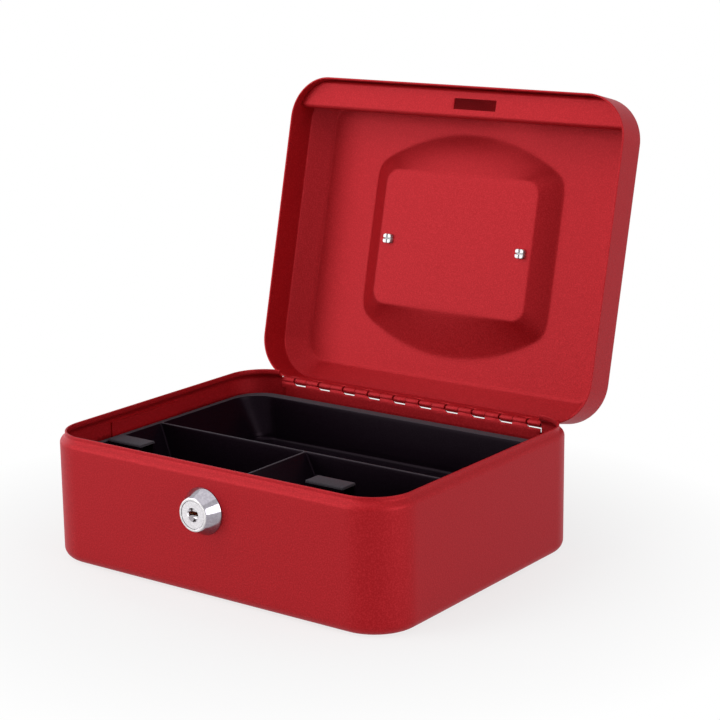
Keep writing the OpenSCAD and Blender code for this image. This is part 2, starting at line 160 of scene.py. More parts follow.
def spread(path, gap):
    """The same path with extra points, so that no step is longer than gap."""
    steps = np.maximum(1, np.ceil(np.linalg.norm(np.diff(path, axis=0), axis=1) / gap)).astype(int)
    start = np.repeat(path[:-1], steps, axis=0)
    move = np.repeat(np.diff(path, axis=0), steps, axis=0)
    count = np.arange(steps.sum()) - np.repeat(np.cumsum(steps) - steps, steps)
    return np.concatenate([start + move * (count / np.repeat(steps, steps))[:, None], path[-1:]])


def turned_open(points):
    """Turns points of the shut lid about the hinge's axis to their place on the open lid."""
    y, z = points[..., 1] - HINGE_Y, points[..., 2] - HINGE_Z
    c, s = cos(LID_ANGLE), sin(LID_ANGLE)
    return np.stack([points[..., 0], HINGE_Y + y * c + z * s, HINGE_Z - y * s + z * c], axis=-1)


def revolved(profile, steps=96):
    """Points of a profile (radius, distance) carried round the lock's axis, which runs along Y."""
    a = np.linspace(0, 2 * pi, steps, endpoint=False)[None, :]
    r, y = profile[:, :1], profile[:, 1:]
    return np.stack([r * np.cos(a), y + 0 * a, LOCK_Z + r * np.sin(a)], axis=-1)


# ------------------------------------------------------------ box's outline
SIDE_STEP, CORNER_POINTS = 1.6, 27


def box_outline(extra=()):
    """Points and outward normals round the outline of the box, from the right side's front end.

    Straight sides run between corner centres, and a corner is centre + CORNER_R (cos a, sin a).
    """
    half_w, half_d = BOX_W / 2 - CORNER_R, BOX_D / 2 - CORNER_R
    points, normals = [], []
    sides = [
        ((half_w, -half_d), (half_w, half_d), 0),
        ((half_w, half_d), (-half_w, half_d), 90),
        ((-half_w, half_d), (-half_w, -half_d), 180),
        ((-half_w, -half_d), (half_w, -half_d), 270),
    ]
    for start, end, face in sides:
        start, end = np.array(start), np.array(end)
        t = np.linspace(0, 1, int(np.linalg.norm(end - start) / SIDE_STEP) + 1)[:, None]
        n = np.array([[cos(radians(face)), sin(radians(face))]])
        points.append(start + (end - start) * t + n * CORNER_R)
        normals.append(np.repeat(n, len(t), axis=0))
        inside = [v for v in extra if face < v < face + 90]
        turn = np.linspace(face, face + 90, CORNER_POINTS)[1:-1]
        a = np.radians(np.sort(np.concatenate([turn, inside])))
        n = np.stack([np.cos(a), np.sin(a)], axis=1)
        points.append(end + n * CORNER_R)
        normals.append(n)
    return np.concatenate(points), np.concatenate(normals)


def carried(outline, normals, section):
    """Carries a section of (inset, height) points round the outline: outline - inset * normal."""
    inset, height = section[:, 0][:, None, None], section[:, 1][:, None]
    flat = outline[None] - inset * normals[None]
    return np.concatenate([flat, np.broadcast_to(height[..., None], flat.shape[:2] + (1,))], axis=-1)


def towards_middle(ring, shares):
    """Rings that shrink towards the middle: each is the given ring times its share."""
    scale = np.asarray(shares)[:, None, None]
    flat = ring[None, :, :2] * scale
    return np.concatenate([flat, np.broadcast_to(ring[None, :, 2:], flat.shape[:2] + (1,))], axis=-1)


# ------------------------------------------------------------------ shells
NOTCH_LEFT, NOTCH_RIGHT, NOTCH_Z = -80.95, 78.3, HINGE_Z - 3.9
SHOULDER_TURN = 52  # degrees from the upright wall to where the shoulder runs into the lip
FOOT_SLOPE, LIP_SLOPE = 1.6, 1.5  # how strongly the curve between them follows each end
RIM_ROUND = 0.3
RIM_POINTS = 3  # points of the rim on each side that a notch's end cap takes in


def body_shell(paint):
    """Pressed body: a section of floor bend, wall, shoulder and lip, carried round the outline.

    The back is cut down to NOTCH_Z between the two notch ends, so that the hinge fits in.
    """
    half_w = BOX_W / 2 - CORNER_R
    ends = ((NOTCH_RIGHT, 1), (NOTCH_LEFT, -1))
    outline, normals = box_outline([degrees(np.arccos((x - side * half_w) / CORNER_R)) for x, side in ends])
    tilt = radians(SHOULDER_TURN)
    foot = (SHOULDER_R * (1 - cos(tilt)), WALL_H + SHOULDER_R * sin(tilt))
    inner_r = SHOULDER_R - SHEET
    inner_foot = (SHOULDER_R - inner_r * cos(tilt), WALL_H + inner_r * sin(tilt))
    slope = FOOT_SLOPE * np.array([sin(tilt), cos(tilt)])
    lip_in = LIP_INSET + SHEET
    floor_bend = arc(BASE_R, BASE_R, BASE_R, 270, 180, 10)
    outer_low = np.concatenate([floor_bend, [[0, 14], [0, 24], [0, 34], [0, 44], [0, NOTCH_Z]]])
    outer_high = np.concatenate(
        [
            [[0, NOTCH_Z]],
            arc(SHOULDER_R, WALL_H, SHOULDER_R, 180, 180 - SHOULDER_TURN, 8),
            blend_curve(foot, slope, (LIP_INSET, RIM_Z - 1.5), (0, LIP_SLOPE), 7)[1:],
        ]
    )
    inner_high = np.concatenate(
        [
            blend_curve((lip_in, RIM_Z - 2.1), (0, -LIP_SLOPE), inner_foot, -slope, 7),
            arc(SHOULDER_R, WALL_H, inner_r, 180 - SHOULDER_TURN, 180, 8)[1:],
            [[SHEET, NOTCH_Z]],
        ]
    )
    rim_corners = [(LIP_INSET, RIM_Z - 1.0), (LIP_INSET, RIM_Z), (lip_in, RIM_Z), (lip_in, RIM_Z - 1.2)]
    rim = filleted(rim_corners, [RIM_ROUND, RIM_ROUND], 3)
    inner_bend = arc(BASE_R, BASE_R, BASE_R - SHEET, 180, 270, 10)
    inner_low = np.concatenate([[[SHEET, NOTCH_Z], [SHEET, 40], [SHEET, 28], [SHEET, 16]], inner_bend])
    high = np.concatenate([outer_high, rim, inner_high])
    low_out = carried(outline, normals, outer_low)
    low_in = carried(outline, normals, inner_low)
    under = towards_middle(low_out[0], [0, 0.5, 1])
    floor = towards_middle(low_in[-1], [1, 0.5, 0])

    x, y = outline.T
    start, end = np.flatnonzero((y > 0) & (x < NOTCH_RIGHT + 1e-6) & (x > NOTCH_LEFT - 1e-6))[[0, -1]]
    keep = np.concatenate([np.arange(end, len(outline)), np.arange(0, start + 1)])
    gone = np.arange(start, end + 1)
    strip = carried(outline[keep], normals[keep], high)
    sill = carried(outline[gone], normals[gone], np.array([[0, NOTCH_Z], [SHEET, NOTCH_Z]]))
    count = min(len(outer_high), len(inner_high)) + RIM_POINTS
    across = np.stack([high[:count], high[::-1][:count]]).reshape(-1, 2)
    patches = [(np.concatenate([under, low_out]), True), (np.concatenate([low_in, floor]), True)]
    patches += [(strip, False), (sill, False)]
    for k in (start, end):
        patches.append((carried(outline[[k]], normals[[k]], across).reshape(2, count, 3), False))
    return piece("body_shell_red", patches, "box", paint, ["body_shell"])


def well_mouth(a):
    """Distance from the middle to the well's mouth at the angles a: sides and two large arcs, softly joined.

    The three distances side, bulge and far join as (side^-p + bulge^-p + far^-p)^(-1/p).
    """
    rise = (WELL_D - WELL_SIDE) / 2
    big = ((WELL_W / 2) ** 2 + rise**2) / (2 * rise)
    c, s = np.abs(np.cos(a)) + 1e-9, np.abs(np.sin(a))
    side = WELL_W / 2 / c
    shift = big - WELL_D / 2
    bulge = -shift * s + np.sqrt((shift * s) ** 2 + big**2 - shift**2)
    far = shift * s + np.sqrt((shift * s) ** 2 + big**2 - shift**2)
    power = 28
    return (side**-power + bulge**-power + far**-power) ** (-1 / power)


def well_floor(a, grow=0.0):
    """Distance from the middle to the edge of the well's floor, a rectangle with round corners.

    The floor reaches further towards the lid's front, where sin a is below 0.
    """
    half_w, r = FLOOR_W / 2 + grow, FLOOR_R + grow
    half_d = FLOOR_D / 2 + grow - FLOOR_SHIFT * np.sign(np.sin(a))
    c, s = np.abs(np.cos(a)) + 1e-9, np.abs(np.sin(a)) + 1e-9
    m = (half_w - r) * c + (half_d - r) * s
    q = (half_w - r) ** 2 + (half_d - r) ** 2 - r**2
    corner = m + np.sqrt(np.maximum(m * m - q, 0))
    side, end = half_w / c, half_d / s
    return np.where(side * s <= half_d - r, side, np.where(end * c <= half_w - r, end, corner))


def soft_step(t, soft):
    """0 below t = 0 and 1 above t = 1, with both bends rounded.

    The formula is (sqrt(t² + soft²) - sqrt((t - 1)² + soft²) + 1) / 2.
    """
    return 0.5 * (np.sqrt(t * t + soft * soft) - np.sqrt((t - 1) ** 2 + soft * soft) + 1)


SKIRT_BEND, PANEL_BEND, EDGE_ROUND = 2.4, 4.0, 0.28
PANEL_RUN = 4.5  # flat stretch of the panel that is carried round the outline
WELL_BEND = 0.055  # softness of the well's two bends, as a share of its slope
INNER_GROW = 0.3  # how much wider the well is on the lid's inside


def well_rings(base, shift, grow):
    """Rings from the ring base across the panel, down the well's slope and over its floor.

    A ring is mouth + (floor - mouth) t, at the height panel - depth * soft_step(t).
    """
    bends = [np.linspace(-0.2, 0.2, 17), np.linspace(0.27, 0.73, 7), np.linspace(0.8, 1.2, 17)]
    t = np.concatenate([[-0.42, -0.3], *bends, [1.3]])
    a = np.arctan2(base[:, 1], base[:, 0])
    ray = np.stack([np.cos(a), np.sin(a)], axis=1)
    mouth = (well_mouth(a) + grow)[:, None] * ray
    floor = well_floor(a, grow)[:, None] * ray
    flat = mouth[None] + (floor - mouth)[None] * t[:, None, None]
    height = LID_H - shift - WELL_DEPTH * soft_step(t, WELL_BEND)
    height = np.broadcast_to(height[:, None, None], flat.shape[:2] + (1,))
    fall = np.concatenate([flat, height], axis=-1)
    return np.concatenate([base[None], fall, towards_middle(fall[-1], [0.66, 0.33, 0])])


def lid_shell(paint):
    """Pressed lid: skirt, border and panel carried round the outline, then rings that fall into the well."""
    outline, normals = box_outline()
    corners = [(0, SHEET), (0, SKIRT_H), (BORDER_W, LID_H), (BORDER_W + PANEL_RUN, LID_H)]
    outer = spread(filleted(corners, [SKIRT_BEND, PANEL_BEND], 9), 3.0)
    step = np.gradient(outer, axis=0)
    step /= np.linalg.norm(step, axis=1)[:, None]
    inner = outer + SHEET * np.stack([step[:, 1], -step[:, 0]], axis=1)
    edge = filleted([(SHEET, SHEET), (SHEET, 0), (0, 0), (0, SHEET)], [EDGE_ROUND, EDGE_ROUND], 4)
    sides = carried(outline, normals, np.concatenate([inner[::-1], edge, outer]))
    outside = well_rings(sides[-1], 0.0, 0.0)
    inside = well_rings(sides[0], SHEET, INNER_GROW)[::-1]
    whole = np.concatenate([inside, sides[1:-1], outside])
    whole[..., 2] += EDGE_Z
    whole = turned_open(whole)
    return piece("lid_shell_red", [(whole, True)], "lid", paint, ["lid_shell"])


STRIKE_FRONT, STRIKE_BACK, STRIKE_Z = -79.0, -64.0, 4.7
STRIKE_FLANGE, STRIKE_LIP, STRIKE_BENDS = 8.0, 3.6, [2.0, 2.2]
STRIKE_STRAIGHT = 60.0
STRIKE_GAP, STRIKE_TUCK = 1.0, 2.2  # how far inside the lid's outline it ends, and how much more at the back
TUCK_FROM, TUCK_OVER = -67.0, 3.0
SLOT_X, SLOT_Y = (-1.0, 23.8), (-73.9, -68.5)


def strike_plate(paint):
    """Angle in the lid's front: a section carried along X to the corners, with the hook's slot left open.

    Up to STRIKE_STRAIGHT all rows share their x. Beyond it they spread to the end that the lid's corner
    leaves, centre + sqrt(r² - (|y| - centre)²).
    """
    corners = [
        (STRIKE_FRONT, STRIKE_Z + STRIKE_FLANGE),
        (STRIKE_FRONT, STRIKE_Z),
        (STRIKE_BACK, STRIKE_Z),
        (STRIKE_BACK, STRIKE_Z + STRIKE_LIP),
    ]
    path = filleted(corners, STRIKE_BENDS, 8)
    flat = path[:, 1] < STRIKE_Z + 1e-6
    even = np.linspace(STRIKE_FRONT + 2.2, STRIKE_BACK - 2.4, 9)
    ys = np.unique(np.concatenate([path[flat, 0], SLOT_Y, even]))
    first, last = np.flatnonzero(flat)[[0, -1]]
    web = np.stack([ys, np.full(len(ys), STRIKE_Z)], axis=1)
    path = np.concatenate([path[:first], web, path[last + 1 :]])
    inside = STRIKE_GAP + STRIKE_TUCK * np.clip((path[:, 0] - TUCK_FROM) / TUCK_OVER, 0, 1) ** 2
    from_centre = np.abs(path[:, 0]) - (BOX_D / 2 - CORNER_R)
    end = BOX_W / 2 - CORNER_R + np.sqrt(np.maximum((CORNER_R - inside) ** 2 - from_centre**2, 0))
    x = np.unique(np.concatenate([np.linspace(-STRIKE_STRAIGHT, STRIKE_STRAIGHT, 41), SLOT_X]))
    u = np.linspace(0, 1, 22)[1:]
    right = STRIKE_STRAIGHT + (end[:, None] - STRIKE_STRAIGHT) * u[None]
    columns = np.concatenate([-right[:, ::-1], np.broadcast_to(x, (len(path), len(x))), right], axis=1)
    sections = [np.broadcast_to(path[:, [k]], columns.shape) for k in (0, 1)]
    grid = np.stack([columns, *sections], axis=-1)
    grid[..., 2] += EDGE_Z
    grid = turned_open(grid)
    off_web = path[:, 1] > STRIKE_Z + 1e-6
    row = [int(np.argmin(np.abs(path[:, 0] - y) + 50 * off_web)) for y in SLOT_Y]
    column = [len(u) + int(np.argmin(np.abs(x - v))) for v in SLOT_X]
    patches = [
        (grid[: row[0] + 1], False),
        (grid[row[1] :], False),
        (grid[row[0] : row[1] + 1, : column[0] + 1], False),
        (grid[row[0] : row[1] + 1, column[1] :], False),
    ]
    made = piece("strike_plate_red", patches, "lid", paint, ["strike_plate"], weld=0.001)
    face_out(made, turned_open(np.array([0.0, -66.0, EDGE_Z - 20.0])) * MM)
    return thicken(made, SHEET, bevel=0.22)


def face_out(made, outside):
    """Turns an open sheet over if the face nearest to the point outside looks away from it."""
    mesh = made.data
    centres = np.zeros(len(mesh.polygons) * 3)
    normals = np.zeros(len(mesh.polygons) * 3)
    mesh.polygons.foreach_get("center", centres)
    mesh.polygons.foreach_get("normal", normals)
    centres, normals = centres.reshape(-1, 3), normals.reshape(-1, 3)
    near = np.argmin(np.linalg.norm(centres - outside, axis=1))
    if normals[near] @ (outside - centres[near]) < 0:
        mesh.flip_normals()


# -------------------------------------------------------------------- tray
TRAY_W, TRAY_FRONT, TRAY_BACK, TRAY_Z, TRAY_DEPTH, TRAY_R = 189.0, -68.0, 72.0, 50.0, 22.0, 16.0
RIM_SIDE, RIM_FRONT, RIM_BACK = 3.0, 3.5, 6.0
DIVIDER_X, DIVIDER_Y, DIVIDER_T = -0.8, -4.2, 1.5
END_LEAN, SIDE_LEAN, SPLIT_LEAN = 12.0, 4.0, 14.0  # how far in a wall leans: ends, front and back, divider
MOUTH_R, FLOOR_CORNER, SPLIT_R, BACK_SPLIT_R = 15.0, 8.5, 0.8, 1.2
TRAY_EDGE, MOUTH_EDGE, FLOOR_FILLET, TRAY_SHEET = 0.5, 0.55, 2.6, 0.7
CORNER_STEPS, SIDE_POINTS = 12, 32
OUTWARD = np.array([-1.0, 1.0, -1.0, 1.0])  # moves a rectangle's left, right, front and back outwards


def side_ring(sides, radii, shares, z):
    """Points round a rectangle, anticlockwise from its front left corner, and where each stretch starts.

    sides are its left, right, front and back. radii are front left, front right, back right and back left.
    shares are where points lie along the front, right, back and left, each in the direction of travel.
    """
    x0, x1, y0, y1 = sides
    fl, fr, br, bl = radii
    front, right, back, left = shares
    parts = [
        np.stack([x0 + fl + (x1 - fr - x0 - fl) * front, np.full(len(front), y0)], axis=1),
        arc(x1 - fr, y0 + fr, fr, -90, 0, CORNER_STEPS),
        np.stack([np.full(len(right), x1), y0 + fr + (y1 - br - y0 - fr) * right], axis=1),
        arc(x1 - br, y1 - br, br, 0, 90, CORNER_STEPS),
        np.stack([x1 - br - (x1 - br - x0 - bl) * back, np.full(len(back), y1)], axis=1),
        arc(x0 + bl, y1 - bl, bl, 90, 180, CORNER_STEPS),
        np.stack([np.full(len(left), x0), y1 - bl - (y1 - bl - y0 - fl) * left], axis=1),
        arc(x0 + fl, y0 + fl, fl, 180, 270, CORNER_STEPS),
    ]
    ring = np.concatenate(parts)
    starts = np.cumsum([0] + [len(part) for part in parts])
    return np.concatenate([ring, np.full((len(ring), 1), z)], axis=1), starts


def compartment(cell, cell_r, shares, mouth, mouth_r, lean, floor_r, rolled):
    """Patches of one compartment: rings from its cell of the rim to its floor, and the turned-down edge.

    The rings of a wall are mouth + (floor - mouth) t, and both edges of the wall are quarter circles. The
    turned-down edge is on the stretches of the cell's outline that rolled gives, which are the tray's own.
    """
    mouth, cell = np.array(mouth), np.array(cell)
    outer_side = np.isin(cell, [-TRAY_W / 2, TRAY_W / 2, TRAY_FRONT, TRAY_BACK]) * OUTWARD
    edge = cell - TRAY_EDGE * outer_side
    edge_r = [max(r - TRAY_EDGE, 0) for r in cell_r]
    rings = [side_ring(edge, edge_r, shares, TRAY_Z)[0]]
    for a in np.radians([0, 30, 60, 90]):
        d = MOUTH_EDGE * (1 - sin(a))
        drop = MOUTH_EDGE * (1 - cos(a))
        rings.append(side_ring(mouth + d * OUTWARD, [r + d for r in mouth_r], shares, TRAY_Z - drop)[0])
    low = TRAY_Z - TRAY_DEPTH
    foot = mouth - OUTWARD * lean
    top, base = rings[-1], side_ring(foot, floor_r, shares, low)[0]
    rings += [top + (base - top) * t * (1 - FLOOR_FILLET / TRAY_DEPTH) for t in np.linspace(0.08, 1, 12)]
    last = rings[-1]
    for a in np.radians(np.linspace(15, 90, 6)):
        d = FLOOR_FILLET * (1 - cos(a))
        base = side_ring(foot - d * OUTWARD, [max(r - d, 0.3) for r in floor_r], shares, low)[0]
        share = np.array([1 - cos(a), 1 - cos(a), sin(a)])
        rings.append(last * (1 - share) + base * share)
    middle = np.array([foot[:2].mean(), foot[2:].mean(), low])
    rings += [middle + (rings[-1] - middle) * share for share in (0.8, 0.5, 0.25, 0)]

    flange = []
    for d, drop in ((0, 0), (0.19, 0.04), (0.35, 0.15), (0.46, 0.31), (0.5, 0.5), (0.5, 1.1), (0.5, 1.7)):
        radii = [r + d if r else 0 for r in edge_r]
        ring, starts = side_ring(edge + d * outer_side, radii, shares, TRAY_Z - drop)
        starts = np.concatenate([starts, starts[-1] + starts[1:]])
        flange.append(ring[np.arange(starts[rolled[0]], starts[rolled[1]]) % len(ring)])
    return [(np.stack(rings), True), (np.stack(flange), False)]


def coin_tray(plastic):
    """Moulded tray: three compartments whose cells share the rim, and two finger grips."""
    half, split = TRAY_W / 2, DIVIDER_T / 2
    even = np.linspace(0, 1, SIDE_POINTS)
    front_cells = [np.linspace(-half, DIVIDER_X, SIDE_POINTS), np.linspace(DIVIDER_X, half, SIDE_POINTS)]
    along = (np.unique(np.concatenate(front_cells)) + half) / TRAY_W
    patches = compartment(
        (-half, half, DIVIDER_Y, TRAY_BACK),
        (0, 0, TRAY_R, TRAY_R),
        (along, even, even, even),
        (-half + RIM_SIDE, half - RIM_SIDE, DIVIDER_Y + split, TRAY_BACK - RIM_BACK),
        (BACK_SPLIT_R, BACK_SPLIT_R, MOUTH_R, MOUTH_R),
        (END_LEAN, END_LEAN, SIDE_LEAN, SIDE_LEAN),
        (BACK_SPLIT_R, BACK_SPLIT_R, FLOOR_CORNER, FLOOR_CORNER),
        (2, 7),
    )
    patches += compartment(
        (-half, DIVIDER_X, TRAY_FRONT, DIVIDER_Y),
        (TRAY_R, 0, 0, 0),
        (even, even, even, even),
        (-half + RIM_SIDE, DIVIDER_X - split, TRAY_FRONT + RIM_FRONT, DIVIDER_Y - split),
        (MOUTH_R, SPLIT_R, SPLIT_R, SPLIT_R),
        (END_LEAN, SPLIT_LEAN, SIDE_LEAN, SIDE_LEAN),
        (FLOOR_CORNER, SPLIT_R, SPLIT_R, SPLIT_R),
        (6, 9),
    )
    patches += compartment(
        (DIVIDER_X, half, TRAY_FRONT, DIVIDER_Y),
        (0, TRAY_R, 0, 0),
        (even, even, even, even),
        (DIVIDER_X + split, half - RIM_SIDE, TRAY_FRONT + RIM_FRONT, DIVIDER_Y - split),
        (SPLIT_R, MOUTH_R, SPLIT_R, SPLIT_R),
        (SPLIT_LEAN, END_LEAN, SIDE_LEAN, SIDE_LEAN),
        (SPLIT_R, FLOOR_CORNER, SPLIT_R, SPLIT_R),
        (0, 3),
    )
    made = piece("coin_tray_black", patches, "tray", plastic, ["coin_tray"], angle=32)
    face_out(made, np.array([20.0, 30.0, 200.0]) * MM)
    thicken(made, TRAY_SHEET)
    tray_grip("tray_grip_left", -91.0, plastic)
    tray_grip("tray_grip_right", 29.0, plastic)


GRIP_FRONT, GRIP_BACK, GRIP_Z, GRIP_W, GRIP_WALL, GRIP_LIP = -43.3, -33.5, TRAY_Z + 1.0, 21.0, 1.4, 2.6
GRIP_FOOT = 28.2
GRIP_BEND_Z = TRAY_Z - 1.6  # height below which the left end follows the tray's wall
CHEEK_INSET, CHEEK_DEPTH, CHEEK_X = 0.2, 8.0, (0.15, 1.2)


def grip_line(x, v, line):
    """Points of a line (y, z) at v to the right of the grip's left end, which is at x.

    Near that end they move right by wall_x - x where the tray's sloping left wall passes under the grip.
    """
    y, z = line.T
    wall_x = -TRAY_W / 2 + RIM_SIDE - TRAY_SHEET / 2 + END_LEAN * (TRAY_Z - z) / TRAY_DEPTH
    return np.stack([x + v + np.maximum(0, wall_x - x) * (v < 2), y, z], axis=1)


def tray_grip(name, x, plastic):
    """Bridge to lift the tray by: an inverted U section, carried along X and closed at its left end."""
    sheets = []
    for inset, radius in ((0.0, 0.7), (GRIP_WALL, 0.3)):
        front, back, top = GRIP_FRONT + inset, GRIP_BACK - inset, GRIP_Z - inset
        corners = [(front, GRIP_Z - GRIP_LIP), (front, top), (back, top), (back, GRIP_FOOT)]
        line = np.insert(filleted(corners, [radius, radius], 4), -1, (back, GRIP_BEND_Z), axis=0)
        sheets.append(np.stack([grip_line(x, v, line) for v in (0.0, GRIP_W)]))
    ends = [np.stack([sheets[0][k], sheets[1][k]]) for k in (0, 1)]
    rims = [np.stack([sheets[0][:, k], sheets[1][:, k]]) for k in (0, -1)]
    patches = [(grid, False) for grid in sheets + ends + rims]
    soften(piece(name, patches, "tray", plastic), 0.3)

    front, back, top = GRIP_FRONT + CHEEK_INSET, GRIP_BACK - CHEEK_INSET, GRIP_Z - 0.3
    corners = [(front, GRIP_Z - CHEEK_DEPTH), (front, top), (back, top), (back, GRIP_FOOT)]
    cheek = filleted(corners, [0.6, 0.6], 4)
    shade = np.stack([np.full(len(cheek), back), cheek[:, 1]], axis=1)
    plate, low = (np.stack([grip_line(x, v, line) for v in CHEEK_X]) for line in (cheek, shade))
    grids = [np.stack([plate[0], low[0]]), np.stack([plate[1], low[1]]), plate, low]
    piece(name + "_cheek", [(grid, False) for grid in grids], "tray", plastic)


# ------------------------------------------------------------------- hinge
KNUCKLES, HINGE_X, PITCH, KNUCKLE_W, END_PLAY = 20, -80.8, 7.93, 7.43, 0.3
LEAF_IN, LEAF_EDGE, LEAF_END, LEAF_W, LEAF_T = -1.75, 1.8, 11.4, 156.0, 0.76
FINGER_ROOT = 3.4
ROLL_R, ROLL_START, ROLL_END = 1.33, 197, -118
FILLET_W, FILLET_H = 2.2, 1.35


def hinge_leaf(name, first, shift, narrower, up, paint):
    """One leaf: a plate with fingers rolled round the pin. up is 1 for the lid's leaf, -1 for the body's.

    A finger's middle line rises from the plate, bends out and runs round the pin: ROLL_R (cos a, sin a). To
    the right of each finger the plate rises towards it by FILLET_H (1 - distance / FILLET_W).
    """
    start = radians(ROLL_START)
    join = ROLL_R * np.array([cos(start), sin(start)])
    along = np.array([sin(start), -cos(start)])
    bend = blend_curve((LEAF_IN, -LEAF_EDGE), (0, 0.9), join, along * 1.1, 9)
    path = np.concatenate([bend, arc(0, 0, ROLL_R, ROLL_START, ROLL_END, 44)[1:]])
    heights = [-LEAF_END, -7.0, -FINGER_ROOT, -LEAF_EDGE]
    plate = np.array([[LEAF_IN, z] for z in heights])
    half = LEAF_W / 2
    lefts = HINGE_X + PITCH * np.arange(first, KNUCKLES, 2) + shift + narrower
    rights = lefts + KNUCKLE_W - narrower
    beside = FILLET_W * np.array([0.04, 0.12, 0.25, 0.42, 0.65, 1.0])
    cuts = np.concatenate([lefts, rights, (rights[:, None] + beside).ravel(), [-half, half]])
    cuts = np.unique(cuts[(cuts >= -half) & (cuts <= half)])
    patches = [lined(plate, cuts)]
    for left, right in zip(lefts, rights):
        patches.append(lined(path, np.unique([left, max(left, -half), right])))
    if lefts[0] < -half:
        root = np.array([[LEAF_IN, z] for z in (-LEAF_EDGE - 2.0, -FINGER_ROOT, -LEAF_EDGE)])
        patches.append(lined(root, [lefts[0], -half]))
    distance = np.concatenate([[0.0], beside])
    rise = FILLET_H * (1 - distance / FILLET_W)
    height = -LEAF_EDGE + np.linspace(0, 1, 5)[:, None] * rise[None]
    inward = np.interp(height, bend[:, 1], bend[:, 0])
    for right in rights[rights + FILLET_W < half]:
        patches.append((np.stack([right + distance + 0 * height, inward, height], axis=-1), False))
    placed = []
    for grid, wrap in patches:
        grid = grid * np.array([1, 1, -up]) + np.array([0, HINGE_Y, HINGE_Z])
        placed.append((turned_open(grid) if up > 0 else grid, wrap))
    body, node = ("lid", "hinge_lid_leaf") if up > 0 else ("box", "hinge_body_leaf")
    made = piece(name, placed, body, paint, [node], angle=60)
    thicken(made, LEAF_T, 0.0, 0.1, even=False)


def lined(path, xs):
    """A sheet whose section is a path of (y, z), carried to each x in turn."""
    flat = np.broadcast_to(path[:, None], (len(path), len(xs), 2))
    x = np.broadcast_to(np.asarray(xs)[None, :, None], (len(path), len(xs), 1))
    return np.concatenate([x, flat], axis=-1), False


# ------------------------------------------------------------------ handle
PIVOT_Y, PIVOT_Z = 0.0, EDGE_Z + LID_H - WELL_DEPTH + 3.5
POST_X, POST_W, BAIL_X, BAIL_REACH = 40.5, 6.0, 34.0, 25.0
WIRE_R, PIN_BEND, GRIP_BEND = 2.0, 3.0, 6.0


def tube(path, radius, steps=28):
    """A round wire along a path of points: path + radius (across cos a + lift sin a), closed at both ends.

    radius may change from point to point; across and lift are square to the path, and lift lies near Z.
    """
    along = np.gradient(path, axis=0)
    along /= np.linalg.norm(along, axis=1)[:, None]
    lift = np.array([0.0, 0.0, 1.0]) - along * along[:, 2:]
    lift /= np.linalg.norm(lift, axis=1)[:, None]
    across = np.cross(along, lift)
    a = np.linspace(0, 2 * pi, steps, endpoint=False)[None, :, None]
    r = np.broadcast_to(np.asarray(radius, float), (len(path),))[:, None, None]
    return path[:, None] + r * (across[:, None] * np.cos(a) + lift[:, None] * np.sin(a)), True


def handle_bail(chrome):
    """Bent wire: from one post round a leg's bend, along the grip and back to the other post."""
    end = POST_X + POST_W / 2 - 0.2
    corners = [(-end, 0), (-BAIL_X, 0), (-BAIL_X, BAIL_REACH), (BAIL_X, BAIL_REACH), (BAIL_X, 0), (end, 0)]
    path = spread(filleted(corners, [PIN_BEND, GRIP_BEND, GRIP_BEND, PIN_BEND], 14), 1.5)
    hang = LID_ANGLE - pi / 2
    path = np.stack([path[:, 0], PIVOT_Y + path[:, 1] * cos(hang), PIVOT_Z + path[:, 1] * sin(hang)], axis=1)
    tip = np.array([0.0, 0.9, 1.55, 1.9, WIRE_R])  # radius of the rounded tip, at each distance from its end
    inset = np.array([0.0, 0.06, 0.3, 0.75, 1.2])
    first = path[0] + np.outer(inset, [1.0, 0, 0])
    last = path[-1] - np.outer(inset[::-1], [1.0, 0, 0])
    inner = path[(path[:, 0] > first[-1, 0] + 0.2) & (path[:, 0] < last[0, 0] - 0.2)]
    radius = np.concatenate([tip, np.full(len(inner), WIRE_R), tip[::-1]])
    grid, wrap = tube(np.concatenate([first, inner, last]), radius)
    patches = [(turned_open(grid), wrap)]
    piece("handle_bail_chrome", patches, "handle", chrome, ["handle_bail"])


FOOT_R, FOOT_T, EYE_R, EYE_Z = 4.6, 0.8, 3.3, 3.5
RIVET_R, RIVET_FLAT, RIVET_H = 2.6, 2.35, 2.0
LOBE_SHAPE, LOBE_SIZE = 5, 0.93
GROOVE_W, GROOVE_DEPTH, GROOVE_PINCH = 0.33, 0.95, 0.12


def post_eye(x, floor):
    """Round-topped block whose cheeks have soft edges: outlines that shrink towards both cheeks."""
    a = np.linspace(0, pi, 25)
    top = np.stack([EYE_R * np.cos(a), EYE_Z + EYE_R * np.sin(a)], axis=1)
    outline = np.concatenate([[[EYE_R, 0.7]], top, [[-EYE_R, 0.7]]])
    loops = []
    for inset, shift in ((0.5, 0.0), (0.18, 0.07), (0.0, 0.4)):
        lower = np.array([0, inset * 0.9]) * (outline[:, 1:] > 1)
        loops.append((outline * np.array([1 - inset / EYE_R, 1.0]) - lower, POST_W / 2 - shift))
    middle = (np.broadcast_to([0.0, EYE_Z], outline.shape), POST_W / 2)
    left = [(loop, -out) for loop, out in [middle, *loops]]
    rows = left + [*loops[::-1], middle]
    return np.stack([np.stack([np.full(len(r), x + v), r[:, 0], floor + r[:, 1]], axis=1) for r, v in rows])


